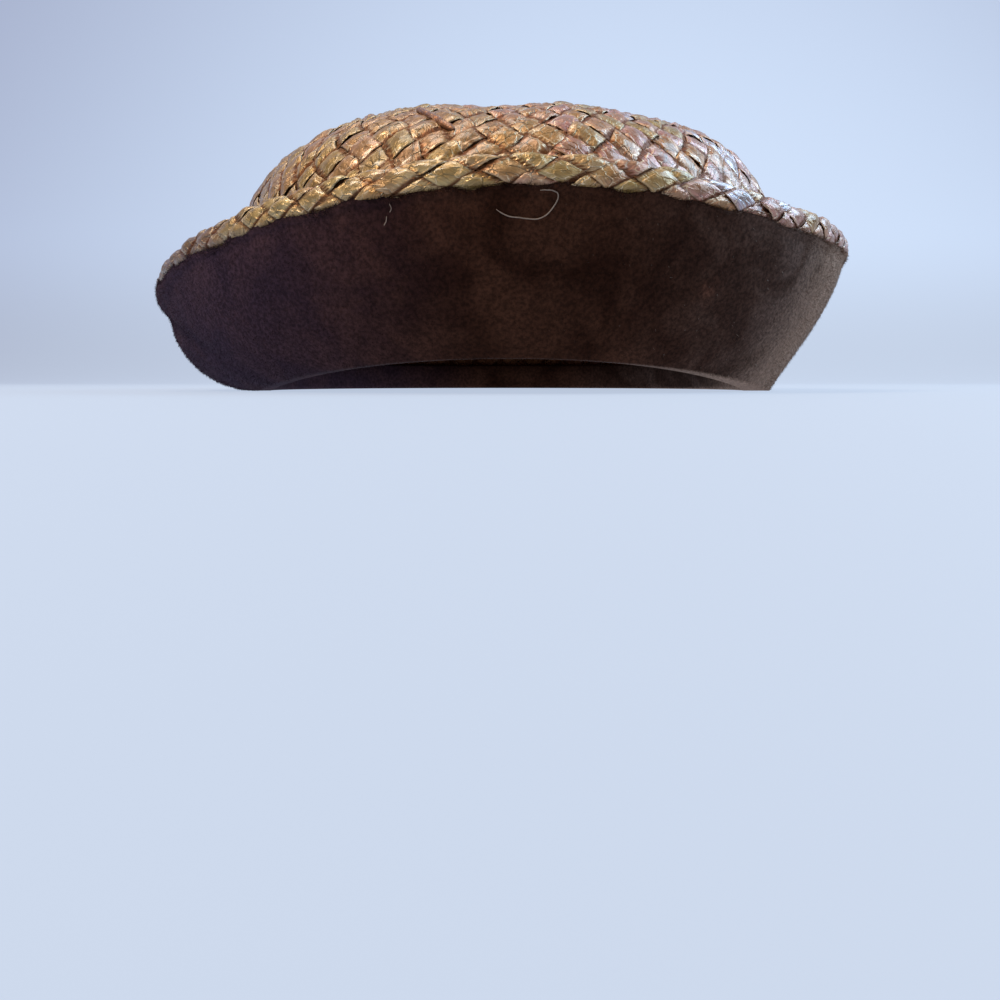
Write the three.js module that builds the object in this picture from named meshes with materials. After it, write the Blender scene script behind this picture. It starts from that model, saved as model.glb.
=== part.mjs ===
// A small tilt hat of woven glossy straw. The deep brim is turned up all round like a shallow bowl, lower on
// the left than on the right, and its outside is faced with short brown plush. Three sewn pieces are built:
// the woven crown, the woven brim with its rolled edge, and the plush facing with its turned-in hem.
//
// Millimetres, +Z up. The front of the hat looks along -Y and its right side lies towards +X. The hat rests on
// the hem round its head opening at z = 0, and the origin is the middle of its outline on that surface.
// A turn is an angle round the hat: 0 at the front, 90 degrees at +X, 180 at the back and 270 at -X.
import * as THREE from "three";

// Head opening and the hem round it
const openingHalfWidth = 71;
const openingHalfLength = 88;
const frontLift = 8; // how far the hem arches off the surface at the front
const frontLiftSpread = 75; // degrees to each side of the front over which it comes down again
const hemHeight = 9; // how far the plush is turned up inside the opening
const hemCorner = 1.2; // bevel where the hem turns

// Walls, and the gap left between sewn layers
const crownWall = 2;
const brimWall = 1.8;
const facingWall = 2;
const layerGap = 0.3;

// Crown
const crownHeight = 78.3;
const crownSideHeight = 32; // height of the side below the rounded shoulder
const crownSwell = 4.2; // how much fuller the crown is at the shoulder than at its lower edge
const shoulderSquareness = 2.83; // 2 is an ellipse, more is squarer
const crownLean = 2.3; // how far the top leans to the right

// Shallow dents in the crown. x and y are where each one is, width runs from side to side and length front to back.
const crownDents = [
  { x: -4.5, y: -58.1, depth: 2.3, width: 15.1, length: 25 },
  { x: 30.3, y: -59.1, depth: 1.6, width: 14.5, length: 21.2 },
];

// Brim
const brimFlare = 20; // how far the plush edge stands out from the brim's root
const rimHeight = 44; // from the surface to the plush edge at the front
const rollHeight = 5.2; // rolled woven edge above the plush at the front
const rollOverhang = 0.6; // how far the roll stands proud of the plush

// The rim, in eighths of a turn from the front towards the right. flare is a share of brimFlare, height is a
// share of rimHeight and roll is a share of rollHeight. fullness is how far the wall bellies out low down, as a
// share of the flare.
const rimSections = [
  { turn: 0, flare: 0.785, height: 1.0, fullness: 0.33, roll: 1.0 },
  { turn: 45, flare: 0.94, height: 0.87, fullness: 0.28, roll: 0.88 },
  { turn: 90, flare: 0.99, height: 0.86, fullness: 0.15, roll: 0.88 },
  { turn: 135, flare: 0.99, height: 0.835, fullness: 0.25, roll: 1.0 },
  { turn: 180, flare: 0.99, height: 0.82, fullness: 0.31, roll: 1.0 },
  { turn: 225, flare: 1.1, height: 0.69, fullness: 0.44, roll: 0.88 },
  { turn: 270, flare: 1.41, height: 0.605, fullness: 0.8, roll: 0.42 },
  { turn: 315, flare: 1.055, height: 0.79, fullness: 0.51, roll: 0.8 },
];

// Handles of the wall's curve, as shares of its flare and height. The lower one rises by lowRise less
// lowDrop times the fullness.
const wallHandles = { lowRise: 0.25, lowDrop: 0.3, highReach: 0.95, highRise: 0.64 };

// Soft crease across the plush low on the left side. line is its height as a share of the rim's height at the
// middle, and slope is how much that share changes for each degree towards the front.
const crease = { depth: 1.7, halfWidth: 3, middle: 290, spread: 24, line: 0.56, slope: -0.02 };

// Fineness of the mesh
const turnSteps = 56;
const flareSteps = 13;
const domeSteps = 11;
const rollSteps = 8;
const halvings = 24;

const fullTurn = 2 * Math.PI;
const brimStack = facingWall + layerGap + brimWall;

// A column of the rim's table at any turn, by a smooth closed curve through its rows
function rimValue(column, turn) {
  const count = rimSections.length;
  const place = (turn / fullTurn) * count;
  const row = Math.floor(place);
  const share = place - row;
  const value = (k) => rimSections[(row + k + count) % count][column];
  const [before, here, next, after] = [value(-1), value(0), value(1), value(2)];
  const bend = 2 * before - 5 * here + 4 * next - after;
  const twist = 3 * (here - next) + after - before;
  return here + 0.5 * share * (next - before + share * (bend + share * twist));
}

// A hill of height 1 at the middle, level with 0 beyond the spread. Middle and spread are in degrees.
function hill(turn, middle, spread) {
  const away = Math.abs(((THREE.MathUtils.radToDeg(turn) - middle + 540) % 360) - 180);
  return away < spread ? Math.cos((away / spread) * (Math.PI / 2)) ** 2 : 0;
}

// Distance from the axis to the oval of the head opening, at one turn
function openingRadius(turn) {
  const across = openingHalfLength * Math.sin(turn);
  const along = openingHalfWidth * Math.cos(turn);
  return (openingHalfWidth * openingHalfLength) / Math.hypot(across, along);
}

const crownRadius = (turn) => openingRadius(turn) + facingWall + layerGap + crownWall;
const hemLevel = (turn) => frontLift * hill(turn, 0, frontLiftSpread);

// The outer skin of the plush at one turn: a curve in (distance from the axis, height) from root to rim. The
// root lies so far out that the woven brim just clears the crown.
function flareCurve(turn) {
  const out = brimFlare * rimValue("flare", turn);
  const up = rimHeight * rimValue("height", turn) - hemLevel(turn);
  const fullness = rimValue("fullness", turn);
  const low = new THREE.Vector2(fullness * out, (wallHandles.lowRise - wallHandles.lowDrop * fullness) * up);
  const high = new THREE.Vector2(wallHandles.highReach * out, wallHandles.highRise * up);
  const clear = crownRadius(turn) + layerGap + brimStack * (low.y / low.length());
  const root = new THREE.Vector2(clear, hemLevel(turn));
  const rim = new THREE.Vector2(out, up).add(root);
  return new THREE.CubicBezierCurve(root, low.add(root), high.add(root), rim);
}

// How deep the crease is at a turn and a height above the hem
function creaseAt(turn, height) {
  const share = crease.line + crease.slope * (THREE.MathUtils.radToDeg(turn) - crease.middle);
  const away = (height - share * rimHeight * rimValue("height", turn)) / crease.halfWidth;
  return crease.depth * hill(turn, crease.middle, crease.spread) * Math.exp(-(away ** 2));
}

// A point of the brim at share t of the way from root to rim, inward of the plush's skin by depth
function brimPoint(curve, turn, t, depth) {
  const point = curve.getPoint(t);
  const along = curve.getTangent(t);
  const inward = new THREE.Vector2(-along.y, along.x);
  return inward.multiplyScalar(depth + creaseAt(turn, point.y - hemLevel(turn))).add(point);
}

// The share t at which a layer of the brim clears a level
function shareAtLevel(curve, turn, depth, level) {
  if (brimPoint(curve, turn, 0, depth).y >= level) return 0;
  let [below, above] = [0, 1];
  for (let k = 0; k < halvings; k++) {
    const middle = (below + above) / 2;
    if (brimPoint(curve, turn, middle, depth).y < level) below = middle;
    else above = middle;
  }
  return above;
}

// The layers of the brim at one turn, each a run of points from root to rim. After its own first point, every
// layer is cut at the same shares, so that neighbouring layers stay parallel.
function brimLayers(turn) {
  const curve = flareCurve(turn);
  const under = hemLevel(turn) + facingWall;
  const layers = {
    skin: { depth: 0, start: 0 },
    back: { depth: facingWall, start: shareAtLevel(curve, turn, facingWall, under) },
    outer: {
      depth: facingWall + layerGap,
      start: shareAtLevel(curve, turn, facingWall + layerGap, under + layerGap),
    },
    inner: { depth: brimStack, start: shareAtLevel(curve, turn, brimStack, under + layerGap) },
  };
  const first = Math.max(...Object.values(layers).map((layer) => layer.start));
  for (const layer of Object.values(layers)) {
    layer.points = [brimPoint(curve, turn, layer.start, layer.depth)];
    for (let k = 1; k <= flareSteps; k++) {
      layer.points.push(brimPoint(curve, turn, first + ((1 - first) * k) / flareSteps, layer.depth));
    }
  }
  return { curve, ...layers };
}

// Points of the crown's outside or inside, from its lower edge to the top
function crownRun(turn, inset) {
  const lower = crownRadius(turn) - inset;
  const upper = lower + crownSwell;
  const edge = hemLevel(turn) + facingWall + layerGap;
  const rise = crownHeight - inset - crownSideHeight;
  const points = [new THREE.Vector2(lower, edge)];
  points.push(new THREE.Vector2((lower + upper) / 2, (edge + crownSideHeight) / 2));
  for (let step = 0; step < domeSteps; step++) {
    const angle = (Math.PI / 2) * (step / domeSteps);
    const [across, up] = [Math.cos(angle), Math.sin(angle)];
    const size = (across ** shoulderSquareness + up ** shoulderSquareness) ** (1 / shoulderSquareness);
    points.push(new THREE.Vector2((upper * across) / size, crownSideHeight + (rise * up) / size));
  }
  return [...points, new THREE.Vector2(0, crownHeight - inset)];
}

// The crown in section: from the axis down its inside, across the lower edge and up its outside
function crownSection(turn) {
  return [...crownRun(turn, crownWall).reverse(), ...crownRun(turn, 0)];
}

// The woven brim in section: up its outside, over the rolled edge and down its inside
function brimSection(turn) {
  const { curve, outer, inner } = brimLayers(turn);
  const along = curve.getTangent(1);
  const inward = new THREE.Vector2(-along.y, along.x);
  const half = (brimStack + rollOverhang) / 2;
  const rise = rollHeight * rimValue("roll", turn);
  const seat = brimPoint(curve, turn, 1, 0).addScaledVector(along, layerGap);
  const middle = seat.clone().addScaledVector(inward, half - rollOverhang);
  const roll = [seat.clone().addScaledVector(inward, outer.depth)];
  for (let step = 0; step <= rollSteps; step++) {
    const angle = Math.PI * (step / rollSteps);
    const point = middle.clone().addScaledVector(inward, -half * Math.cos(angle));
    roll.push(point.addScaledVector(along, rise * Math.sin(angle)));
  }
  return [...outer.points, ...roll, ...inner.points.reverse(), outer.points[0]];
}

// The plush facing in section: up its outside, down its inside, then the hem turned up inside the opening
function facingSection(turn) {
  const { skin, back } = brimLayers(turn);
  const floor = hemLevel(turn);
  const radius = openingRadius(turn);
  const hem = [
    new THREE.Vector2(radius + facingWall, floor + facingWall),
    new THREE.Vector2(radius + facingWall, floor + hemHeight),
    new THREE.Vector2(radius, floor + hemHeight),
    new THREE.Vector2(radius, floor + hemCorner),
    new THREE.Vector2(radius + hemCorner, floor),
  ];
  return [...skin.points, ...back.points.reverse(), ...hem, skin.points[0]];
}

// A closed body through sections round the axis. Both sides of a wall are cut along the same diagonals, which
// keeps its thickness even.
function loftAround(sectionAt) {
  const count = sectionAt(0).length;
  const positions = [];
  const faces = [];
  for (let step = 0; step < turnSteps; step++) {
    const turn = (step / turnSteps) * fullTurn;
    const section = sectionAt(turn);
    for (const point of section) {
      positions.push(point.x * Math.sin(turn), -point.x * Math.cos(turn), point.y);
    }
    for (let k = 0; k < count - 1; k++) {
      const here = step * count + k;
      const next = ((step + 1) % turnSteps) * count + k;
      const rising = section[k + 1].y >= section[k].y;
      if (rising) faces.push(here, next, next + 1, here, next + 1, here + 1);
      else faces.push(here, next, here + 1, next, next + 1, here + 1);
    }
  }
  const geometry = new THREE.BufferGeometry();
  geometry.setAttribute("position", new THREE.Float32BufferAttribute(positions, 3));
  geometry.setIndex(faces);
  geometry.computeVertexNormals();
  return geometry;
}

// Presses the dents into the crown and leans its top over: not at all up to the shoulder, then more and more
function shapeCrown(geometry) {
  const position = geometry.getAttribute("position");
  for (let k = 0; k < position.count; k++) {
    const [x, y, z] = [position.getX(k), position.getY(k), position.getZ(k)];
    const share = Math.max(0, (z - crownSideHeight) / (crownHeight - crownSideHeight));
    let sink = 0;
    for (const dent of crownDents) {
      sink += dent.depth * Math.exp(-(((x - dent.x) / dent.width) ** 2) - ((y - dent.y) / dent.length) ** 2);
    }
    position.setXYZ(k, x + crownLean * share ** 2, y, z - sink * Math.min(1, 3 * share));
  }
  geometry.computeVertexNormals();
  return geometry;
}

const straw = new THREE.MeshStandardMaterial({ color: 0x94683f, roughness: 0.35, metalness: 0.2 });
const plush = new THREE.MeshStandardMaterial({ color: 0x2b1a15, roughness: 0.95, metalness: 0 });

function piece(name, geometry, material) {
  const mesh = new THREE.Mesh(geometry, material);
  mesh.name = name;
  return mesh;
}

const hat = new THREE.Group();
hat.add(
  piece("crown", shapeCrown(loftAround(crownSection)), straw),
  piece("brim", loftAround(brimSection), straw),
  piece("brim_facing", loftAround(facingSection), plush),
);

// The rim is uneven, so the hat is moved until the middle of its outline is the origin.
const outline = new THREE.Box3().setFromObject(hat);
const middle = outline.getCenter(new THREE.Vector3());
hat.position.set(-middle.x, -middle.y, -outline.min.z);

export default hat;
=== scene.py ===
import math

import bpy
import numpy as np
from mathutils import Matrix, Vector


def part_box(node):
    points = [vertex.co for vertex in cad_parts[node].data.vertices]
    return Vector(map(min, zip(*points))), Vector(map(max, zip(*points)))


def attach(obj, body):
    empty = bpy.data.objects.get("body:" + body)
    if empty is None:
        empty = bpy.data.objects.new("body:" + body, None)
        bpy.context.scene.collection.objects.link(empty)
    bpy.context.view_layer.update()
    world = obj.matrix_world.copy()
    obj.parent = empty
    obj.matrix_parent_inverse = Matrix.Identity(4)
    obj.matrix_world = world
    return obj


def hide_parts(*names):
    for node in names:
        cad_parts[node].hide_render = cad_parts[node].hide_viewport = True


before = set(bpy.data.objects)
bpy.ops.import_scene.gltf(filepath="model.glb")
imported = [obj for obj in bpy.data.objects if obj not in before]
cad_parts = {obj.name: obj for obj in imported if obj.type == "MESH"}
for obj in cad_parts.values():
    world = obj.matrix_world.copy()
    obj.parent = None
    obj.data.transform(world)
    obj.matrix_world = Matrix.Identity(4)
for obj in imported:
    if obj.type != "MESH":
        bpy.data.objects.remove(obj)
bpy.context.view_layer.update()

mm = 0.001  # the frame is in metres, and the hat's own sizes here are in millimetres
fullTurn = 2 * math.pi
chance = np.random.default_rng(41)

# The hat's form, with the sizes that its solids have. A turn runs from the front (0) by the right side (90).
hatForm = {
    "openingHalfWidth": 71.0,
    "openingHalfLength": 88.0,
    "frontLift": 8.0,
    "frontLiftSpread": 75.0,
    "hemHeight": 9.0,
    "hemCorner": 1.2,
    "crownWall": 2.0,
    "brimWall": 1.8,
    "facingWall": 2.0,
    "layerGap": 0.3,
    "crownHeight": 78.3,
    "crownSideHeight": 32.0,
    "crownSwell": 4.2,
    "shoulderSquareness": 2.83,
    "crownLean": 2.3,
    "brimFlare": 20.0,
    "rimHeight": 44.0,
    "rollHeight": 5.2,
    "rollOverhang": 0.6,
}
# How the rim changes round the hat, every 45 degrees from the front. The fullness is how far the wall bellies
# out, and the others are shares of the sizes above.
rimTurns = {
    "flare": (0.785, 0.94, 0.99, 0.99, 0.99, 1.1, 1.41, 1.055),
    "height": (1.0, 0.87, 0.86, 0.835, 0.82, 0.69, 0.605, 0.79),
    "fullness": (0.33, 0.28, 0.15, 0.25, 0.31, 0.44, 0.8, 0.51),
    "roll": (1.0, 0.88, 0.88, 1.0, 1.0, 0.88, 0.42, 0.8),
}
# The handles of the wall's curve, as shares of its reach and its rise
wallHandles = {"lowRise": 0.25, "lowDrop": 0.3, "highReach": 0.95, "highRise": 0.64}
# A soft crease low on the left
leftCrease = {
    "depth": 1.7,
    "halfWidth": 3.0,
    "middle": 290.0,  # degrees, as the spread
    "spread": 24.0,
    "line": 0.56,  # a share of the rim's height there
    "slope": -0.02,  # how much of that share is added with each degree
}
# Two soft dents at the front of the crown's top
crownDents = (
    {"x": -4.5, "y": -58.1, "depth": 2.3, "width": 15.1, "length": 25.0},
    {"x": 30.3, "y": -59.1, "depth": 1.6, "width": 14.5, "length": 21.2},
)
dentFade = 3  # the dents have their whole depth from a third of the way up the dome
# At the left end of the rim the plush laps higher over the straw
leftLap = {
    "middle": 276.0,  # degrees, as the spread
    "spread": 40.0,
    "rise": 0.035,  # a share of the wall's curve, as the start and the fade
    "start": 0.25,
    "fade": 0.04,
    "out": 0.7,
}
brimStack = hatForm["facingWall"] + hatForm["layerGap"] + hatForm["brimWall"]

# The head opening's axis stands in the middle of the crown, which isn't the middle of the uneven rim.
crownLow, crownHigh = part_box("crown")
hatAxis = np.array([(crownLow[0] + crownHigh[0]) / 2, (crownLow[1] + crownHigh[1]) / 2, 0.0])


def hill(turn, middle, spread):
    away = np.abs((np.degrees(turn) - middle + 540) % 360 - 180)
    return np.where(away < spread, np.cos(away / spread * np.pi / 2) ** 2, 0.0)


def smoothCurve(before, here, following, after, share):
    # a curve through four points in a row, at a share of the way from the second to the third
    bend = 2 * before - 5 * here + 4 * following - after
    twist = 3 * (here - following) + after - before
    return here + 0.5 * share * (following - before + share * (bend + share * twist))


def rimValue(column, turn):
    rows = np.array(rimTurns[column])
    place = turn / fullTurn * len(rows)
    row = np.floor(place).astype(int)
    near = [rows[(row + k) % len(rows)] for k in (-1, 0, 1, 2)]
    return smoothCurve(*near, place - row)


def openingRadius(turn):
    wide, long = hatForm["openingHalfWidth"], hatForm["openingHalfLength"]
    return wide * long / np.hypot(long * np.sin(turn), wide * np.cos(turn))


def crownRadius(turn):
    return openingRadius(turn) + hatForm["facingWall"] + hatForm["layerGap"] + hatForm["crownWall"]


def hemLevel(turn):
    return hatForm["frontLift"] * hill(turn, 0.0, hatForm["frontLiftSpread"])


def flareHandles(turn):
    # the four handles of the wall's curve, each a distance from the axis and a height
    out = hatForm["brimFlare"] * rimValue("flare", turn)
    rise = hatForm["rimHeight"] * rimValue("height", turn) - hemLevel(turn)
    fullness = rimValue("fullness", turn)
    low = np.stack([fullness * out, (wallHandles["lowRise"] - wallHandles["lowDrop"] * fullness) * rise], -1)
    high = np.stack([wallHandles["highReach"] * out, wallHandles["highRise"] * rise], -1)
    steepness = low[..., 1] / np.linalg.norm(low, axis=-1)
    clear = crownRadius(turn) + hatForm["layerGap"] + brimStack * steepness
    root = np.stack([clear, hemLevel(turn)], -1)
    return root, root + low, root + high, root + np.stack([out, rise], -1)


def brimPoint(turn, share, depth):
    # a point inward of the plush's skin by depth, with the directions along the wall and inward
    a, b, c, d = flareHandles(turn)
    t = np.asarray(share, float)[..., None]
    point = (1 - t) ** 3 * a + 3 * t * (1 - t) ** 2 * b + 3 * t * t * (1 - t) * c + t**3 * d
    along = (1 - t) ** 2 * (b - a) + 2 * t * (1 - t) * (c - b) + t * t * (d - c)
    along = along / np.linalg.norm(along, axis=-1, keepdims=True)
    inward = np.stack([-along[..., 1], along[..., 0]], -1)
    height = point[..., 1] - hemLevel(turn)
    line = leftCrease["line"] + leftCrease["slope"] * (np.degrees(turn % fullTurn) - leftCrease["middle"])
    away = (height - line * hatForm["rimHeight"] * rimValue("height", turn)) / leftCrease["halfWidth"]
    fade = hill(turn, leftCrease["middle"], leftCrease["spread"])
    sunk = depth + leftCrease["depth"] * fade * np.exp(-(away**2))
    return point + inward * sunk[..., None], along, inward


def standUp(turn, section):
    # sections (distance from the axis, height) to places in the hat's own millimetres
    return np.stack([section[..., 0] * np.sin(turn), -section[..., 0] * np.cos(turn), section[..., 1]], -1)


def shapeCrown(points):
    x, y, z = points[..., 0], points[..., 1], points[..., 2]
    side, top = hatForm["crownSideHeight"], hatForm["crownHeight"]
    share = np.clip((z - side) / (top - side), 0, 1)
    sink = 0
    for dent in crownDents:
        away = ((x - dent["x"]) / dent["width"]) ** 2 + ((y - dent["y"]) / dent["length"]) ** 2
        sink = sink + dent["depth"] * np.exp(-away)
    return np.stack([x + hatForm["crownLean"] * share**2, y, z - sink * np.minimum(1, dentFade * share)], -1)


class TurnedSurface:
    # a surface round the axis, kept as a fine table of points and read at any turn and share of its length
    def __init__(self, points):
        self.points = points  # turns, then steps along the surface
        around = np.roll(points, -1, 0) - np.roll(points, 1, 0)
        down = np.gradient(points, axis=1)
        normals = np.cross(down, around)
        normals[:, 0] = np.where(np.abs(normals[:, :1]).max() < 1e-9, normals[:, 1].mean(0), normals[:, 0])
        self.normals = normals / np.linalg.norm(normals, axis=-1, keepdims=True)

    def read(self, turn, share):
        turns, steps = self.points.shape[:2]
        across = (turn / fullTurn % 1) * turns
        along = np.clip(share, 0, 1) * (steps - 1)
        i = np.floor(across).astype(int)
        j = np.minimum(np.floor(along).astype(int), steps - 2)
        u = (across - i)[..., None]
        v = (along - j)[..., None]
        i0, i1 = i % turns, (i + 1) % turns

        def mix(table):
            near = table[i0, j] * (1 - v) + table[i0, j + 1] * v
            far = table[i1, j] * (1 - v) + table[i1, j + 1] * v
            return near * (1 - u) + far * u

        normal = mix(self.normals)
        return mix(self.points), normal / np.linalg.norm(normal, axis=-1, keepdims=True)


def evenSteps(sections, steps):
    # resamples every section, one for each turn, to even steps along its own length
    gaps = np.linalg.norm(np.diff(sections, axis=1), axis=-1)
    lengths = np.pad(np.cumsum(gaps, axis=1), ((0, 0), (1, 0)))
    even = np.empty((len(sections), steps, 2))
    for k, section in enumerate(sections):
        places = np.linspace(0, lengths[k, -1], steps)
        even[k] = np.stack([np.interp(places, lengths[k], section[:, c]) for c in (0, 1)], -1)
    return even, lengths[:, -1]


# How finely the surfaces are kept: points round the hat and along each stretch, and even steps of the whole
tableSteps = {
    "turns": 360,
    "dome": 90,
    "side": 40,
    "wall": 60,
    "roll": 40,
    "tuck": 6,
    "cloth": 260,
    "plush": 70,
    "evenPlush": 160,
}
tableTurns = np.linspace(0, fullTurn, tableSteps["turns"], endpoint=False)
# The woven brim starts above the plush's hem, and its edge is tucked in under the plush's top edge
brimEnds = {"footLift": 0.4, "tuckSlant": 0.8, "tuckFrom": 0.15, "tuckTo": 1.9}


def crownTable(inset):
    # the crown from its top down to its lower edge, at a depth under its outside
    angles = np.linspace(np.pi / 2, 0, tableSteps["dome"])
    power = hatForm["shoulderSquareness"]
    across, rise = np.cos(angles), np.sin(angles)
    size = (across**power + rise**power) ** (1 / power)
    lower = crownRadius(tableTurns)[:, None] - inset
    upper = lower + hatForm["crownSwell"]
    edge = (hemLevel(tableTurns) + hatForm["facingWall"] + hatForm["layerGap"])[:, None]
    side = hatForm["crownSideHeight"]
    height = side + (hatForm["crownHeight"] - inset - side) * (rise / size) + 0 * upper
    dome = np.stack([upper * across / size, height], -1)
    down = np.linspace(0, 1, tableSteps["side"])[1:]
    wall = np.stack([upper + (lower - upper) * down, side + (edge - side) * down], -1)
    even, lengths = evenSteps(np.concatenate([dome, wall], 1), tableSteps["cloth"])
    return TurnedSurface(shapeCrown(standUp(tableTurns[:, None], even))), lengths


def brimTable(inset):
    # the woven brim from its root up the inside, over the rolled rim and down to the plush
    turns = tableTurns[:, None]
    wall, _, _ = brimPoint(turns, np.linspace(0, 1, tableSteps["wall"])[None, :], brimStack - inset)
    foot = hemLevel(turns) + hatForm["facingWall"] + hatForm["layerGap"] + brimEnds["footLift"]
    wall[..., 1] = np.maximum(wall[..., 1], foot)
    rim, along, inward = brimPoint(turns, np.ones((1, 1)), 0.0)
    half = (brimStack + hatForm["rollOverhang"]) / 2
    middle = rim + inward * (half - hatForm["rollOverhang"]) + along * hatForm["layerGap"]
    angle = np.linspace(np.pi, 0, tableSteps["roll"])[None, 1:, None]
    rise = hatForm["rollHeight"] * rimValue("roll", tableTurns)[:, None, None] - inset
    roll = middle - inward * (half - inset) * np.cos(angle) + along * rise * np.sin(angle)
    under = np.linspace(brimEnds["tuckFrom"], brimEnds["tuckTo"], tableSteps["tuck"])[None, :, None]
    tuck = roll[:, -1:] + (inward * brimEnds["tuckSlant"] - along) * under
    even, _ = evenSteps(np.concatenate([wall, roll, tuck], 1), tableSteps["cloth"])
    return TurnedSurface(standUp(turns, even))


def makeMesh(name, vertices, faces, smooth=True):
    # faces is an array of quads or triangles, or a list of such arrays
    groups = faces if isinstance(faces, list) else [faces]
    mesh = bpy.data.meshes.new(name)
    loops = np.concatenate([g.ravel() for g in groups]).astype(np.int32)
    sizes = np.concatenate([np.full(len(g), g.shape[1]) for g in groups])
    mesh.vertices.add(len(vertices))
    mesh.vertices.foreach_set("co", (vertices * mm + hatAxis).astype(np.float32).ravel())
    mesh.loops.add(len(loops))
    mesh.loops.foreach_set("vertex_index", loops)
    mesh.polygons.add(len(sizes))
    mesh.polygons.foreach_set("loop_start", (np.cumsum(sizes) - sizes).astype(np.int32))
    mesh.polygons.foreach_set("use_smooth", np.full(len(sizes), smooth))
    mesh.update(calc_edges=True)
    mesh.validate()
    piece = bpy.data.objects.new(name, mesh)
    bpy.context.scene.collection.objects.link(piece)
    return piece


def addValues(piece, name, values):
    layer = piece.data.attributes.new(name, "FLOAT", "POINT")
    layer.data.foreach_set("value", np.asarray(values, np.float32).ravel())


def addMap(piece, name, places):
    # places is one (u, v) for each vertex
    loops = np.empty(len(piece.data.loops), np.int32)
    piece.data.loops.foreach_get("vertex_index", loops)
    layer = piece.data.uv_layers.new(name=name)
    layer.data.foreach_set("uv", places[loops].astype(np.float32).ravel())


def tubeFaces(rings, around):
    # quads of a closed tube of rings, with its two ends closed by fans
    k, a = np.meshgrid(np.arange(rings - 1), np.arange(around), indexing="ij")
    b = (a + 1) % around
    here, after = k * around, (k + 1) * around
    sides = np.stack([here + a, here + b, after + b, after + a], -1).reshape(-1, 4)
    ends = []
    for m in range(1, around - 1):
        ends.append((0, m + 1, m))
        last = (rings - 1) * around
        ends.append((last, last + m, last + m + 1))
    return sides, np.array(ends)


# The flat straw ribbons of the weave, in millimetres. A ribbon's width, its change and its sway are shares of
# the room between two ribbons.
weave = {
    "matHalf": 15,  # crossings from the middle of the crown's top to each corner of its square mat
    "matShare": 0.5,  # how far down the crown the mat reaches
    "matDraw": 0.85,  # how much the crossings in its middle are drawn together
    "matCalm": 0.4,  # how far down the weave wanders in full
    "sideRows": 6.8,  # diamonds from there down to the crown's lower edge
    "brimRibbons": 64,  # in each direction, round the rim
    "brimRows": 6.3,  # diamonds from the brim's root over the rim to the plush
    "rimCrowding": 0.15,  # how much lower the diamonds are at the rim than halfway
    "frontCrowding": 0.2,  # and how much more at the front
    "frontSpread": 70.0,
    "ribbonWidth": 1.05,
    "widthChange": 0.1,
    "widthWave": (0.9, 4.1),  # along the ribbon, and from one ribbon to the next
    "sway": 0.07,
    "swayWave": (1.9, 2.3),
    "inset": 0.3,  # how deep the middle of the cloth lies under the walls' outside
    "thickness": 0.32,
    "swing": 0.46,  # how far a ribbon swings over and under
    "swingPower": 0.8,
    "underShare": 0.35,  # how much of that it has where it goes under
    "puff": 0.34,  # how far its middle stands above its edges
    "uneven": 0.55,
    "tilt": 0.38,
    "crumple": 0.17,
    "crumpleSize": 4.4,
    "crumpleSeed": 11,
    "crumpleShift": 40.0,  # so that the two directions differ
    "warp": 2.1,  # how far the whole weave wanders
    "seamFade": 0.05,
    "seamFlat": 0.15,
    "rimLightFrom": 0.6,  # the share of the way up the brim where its painted rim light begins
    "rimLightOver": 0.25,
    "looks": (97, 89, 3),  # ribbons and crossings before their chance shapes come again
    "tints": 4096,
    "mapSize": (3.5, 7.0),  # half a ribbon's width and the length of a crossing, on the ribbon's map
    "mapShift": (17.3, 5.1),  # from one ribbon to the next
    "crownSteps": 6,  # along the ribbon, for each crossing
    "brimSteps": 6,
}
ribbonLabels = ("ribbonTint", "cellTint", "ribbonHeight", "alongCell", "acrossRibbon", "rimLight")
# round the ribbon's section: places across it, and whether each is over or under its middle
ribbonEdge = np.array([-1.0, -0.9, -0.62, -0.31, 0.0, 0.31, 0.62, 0.9, 1.0, 0.5, -0.5])
ribbonSide = np.array([0.0, 0.8, 1.0, 1.0, 1.0, 1.0, 1.0, 0.8, 0.0, -1.0, -1.0])


def ribbonWave(name, along, ribbon):
    pace, shift = weave[name]
    return np.sin(along * pace + ribbon * shift)


def ribbonHeights(across, cell, swell, ribbon, over, looks):
    # how high a ribbon's middle layer lies over the cloth: over one crossing and under the next
    look = looks[ribbon % looks.shape[0], cell % looks.shape[1]]
    rise = weave["swing"] * (1 + weave["uneven"] * look[..., 0]) * swell ** weave["swingPower"]
    puff = weave["puff"] * (1 + weave["uneven"] * look[..., 1]) * (1 - across**2) * swell
    lean = weave["tilt"] * look[..., 2] * across * swell
    isOver = (cell + ribbon + over) % 2 == 0
    return np.where(isOver, rise + puff + lean, -weave["underShare"] * (rise + puff))


softWaves = {"count": 9, "pace": (0.6, 1.7), "height": 3.2}


def softNoise(points, size, seed):
    # smooth noise from a few waves in mixed directions, from about -1 to 1
    waves = np.random.default_rng(seed)
    total = np.zeros(points.shape[:-1])
    for _ in range(softWaves["count"]):
        way = waves.normal(size=3)
        way *= waves.uniform(*softWaves["pace"]) / np.linalg.norm(way)
        total += np.sin(points @ way * (fullTurn / size) + waves.uniform(0, fullTurn))
    return total / softWaves["height"]


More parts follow.
